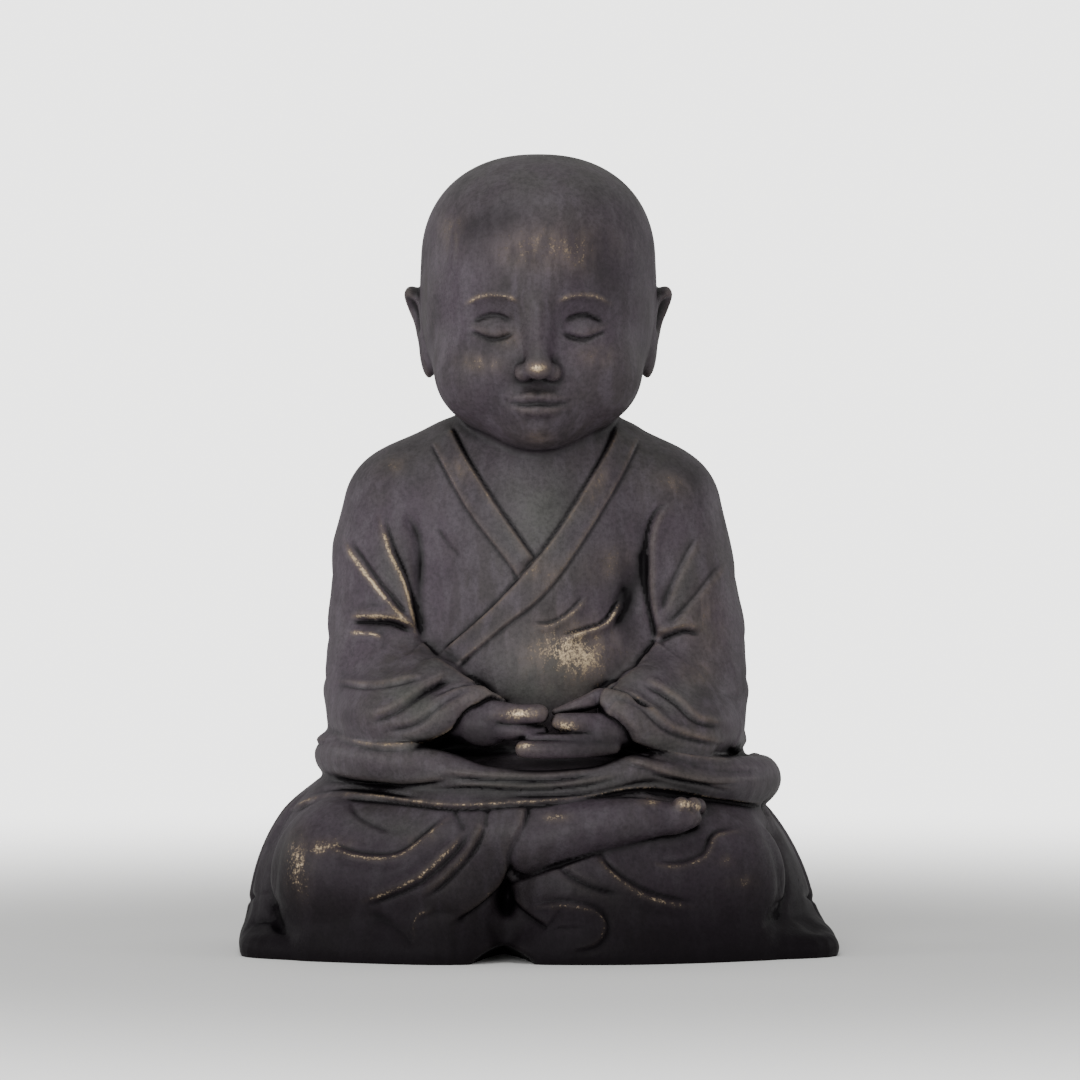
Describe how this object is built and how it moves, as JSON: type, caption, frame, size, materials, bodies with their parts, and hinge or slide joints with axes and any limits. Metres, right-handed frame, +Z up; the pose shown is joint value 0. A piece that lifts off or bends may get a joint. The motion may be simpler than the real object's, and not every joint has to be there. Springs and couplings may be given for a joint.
{
  "type": "garden buddha figure",
  "caption": "Seated child monk in a crossed-collar robe, hands together in the lap, cast in one piece, that stands on its flat underside as a garden ornament.",
  "frame": {"origin": "on the ground, under the middle of the figure's box", "axes": "+Z up, -Y the way the figure faces, +X to the right of someone who looks at its front"},
  "size_m": [0.3421, 0.2351, 0.4569],
  "materials": {
    "bronze_finish": "cast resin with a dark brown-black bronze-coloured finish, satin, with gold rubbed over the high places"
  },
  "bodies": {
    "root": {"buddha_figure": "bronze_finish"}
  },
  "joints": []
}
